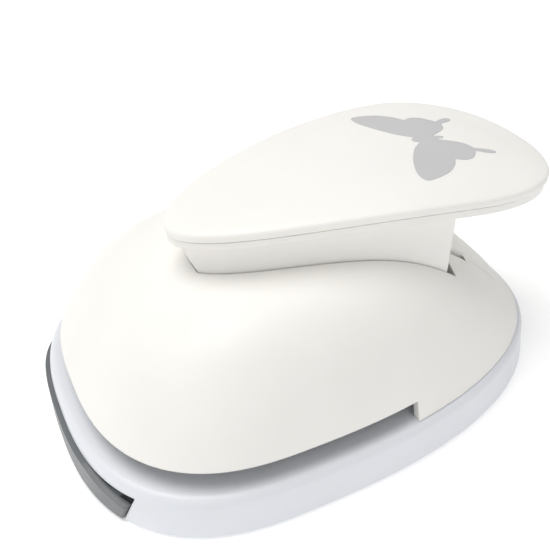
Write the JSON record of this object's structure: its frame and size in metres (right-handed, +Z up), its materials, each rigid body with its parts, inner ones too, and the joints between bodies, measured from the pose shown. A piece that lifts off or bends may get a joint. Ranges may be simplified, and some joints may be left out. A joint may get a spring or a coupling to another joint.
{
  "type": "craft punch",
  "caption": "Table-top lever craft punch: egg-shaped base with a paper slot, domed housing, teardrop press lever, sprung ram with a butterfly cutter and a pull-out scrap tray.",
  "frame": {"origin": "centre of the object's box at table height, level with the undersides of the four feet", "axes": "+Z up; -Y towards the paper slot and the tray's grey lip, +Y towards the wide press end of the lever; X = 0 is the plane of symmetry"},
  "size_m": [0.0946, 0.1329, 0.0604],
  "materials": {
    "warm_white_shell": "moulded ABS, fine satin gloss, warm white",
    "cool_white_base": "moulded ABS, satin gloss, slightly bluish white",
    "grey_tray": "moulded ABS, satin, mid to dark grey",
    "inner_plastic": "moulded acetal, matt, light grey",
    "foot_rubber": "matt black self-adhesive rubber",
    "die_steel": "ground tool steel",
    "spring_steel": "drawn spring wire, lightly oiled",
    "fastener_steel": "zinc-plated screws, pin and clips"
  },
  "bodies": {
    "chassis": {"base_housing": "cool_white_base", "base_screw_1": "fastener_steel", "base_screw_2": "fastener_steel", "base_screw_3": "fastener_steel", "base_screw_4": "fastener_steel", "bottom_plate": "cool_white_base", "bracket_screw_1": "fastener_steel", "bracket_screw_2": "fastener_steel", "die_plate": "die_steel", "die_screw_1": "fastener_steel", "die_screw_2": "fastener_steel", "die_screw_3": "fastener_steel", "die_screw_4": "fastener_steel", "guide_plate": "die_steel", "housing_screw_1": "fastener_steel", "housing_screw_2": "fastener_steel", "housing_screw_3": "fastener_steel", "housing_screw_4": "fastener_steel", "pin_clip_1": "fastener_steel", "pin_clip_2": "fastener_steel", "pivot_bracket": "die_steel", "pivot_pin": "fastener_steel", "rubber_foot_1": "foot_rubber", "rubber_foot_2": "foot_rubber", "rubber_foot_3": "foot_rubber", "rubber_foot_4": "foot_rubber", "spring_post_1": "die_steel", "spring_post_2": "die_steel", "spring_post_3": "die_steel", "spring_post_4": "die_steel", "throat_spacer": "inner_plastic", "upper_housing": "warm_white_shell"},
    "lever": {"lever_arm": "warm_white_shell", "lever_cap": "warm_white_shell"},
    "ram": {"ram_plate": "inner_plastic", "punch_cutter": "die_steel", "ram_screw_1": "fastener_steel", "ram_screw_2": "fastener_steel", "return_spring_1": "spring_steel", "return_spring_2": "spring_steel", "return_spring_3": "spring_steel", "return_spring_4": "spring_steel"},
    "tray": {"scrap_tray": "grey_tray"}
  },
  "joints": [
    {"name": "lever_press", "type": "hinge", "parent": "chassis", "child": "lever", "pos_m": [0, -0.038, 0.0296], "axis": [-1, 0, 0], "range_deg": [0, 10.5], "stiffness_Nm_per_rad": 6, "springref_deg": -6.88},
    {"name": "ram_stroke", "type": "slide", "parent": "chassis", "child": "ram", "axis": [0, 0, -1], "range_m": [0, 0.0056], "deforming": ["return_spring_1", "return_spring_2", "return_spring_3", "return_spring_4"]},
    {"name": "tray_pull", "type": "slide", "parent": "chassis", "child": "tray", "axis": [0, -1, 0], "range_m": [0, 0.06]}
  ],
  "couplings": [
    {"joint": "ram_stroke", "follows": "lever_press", "m_per_rad": 0.03}
  ]
}
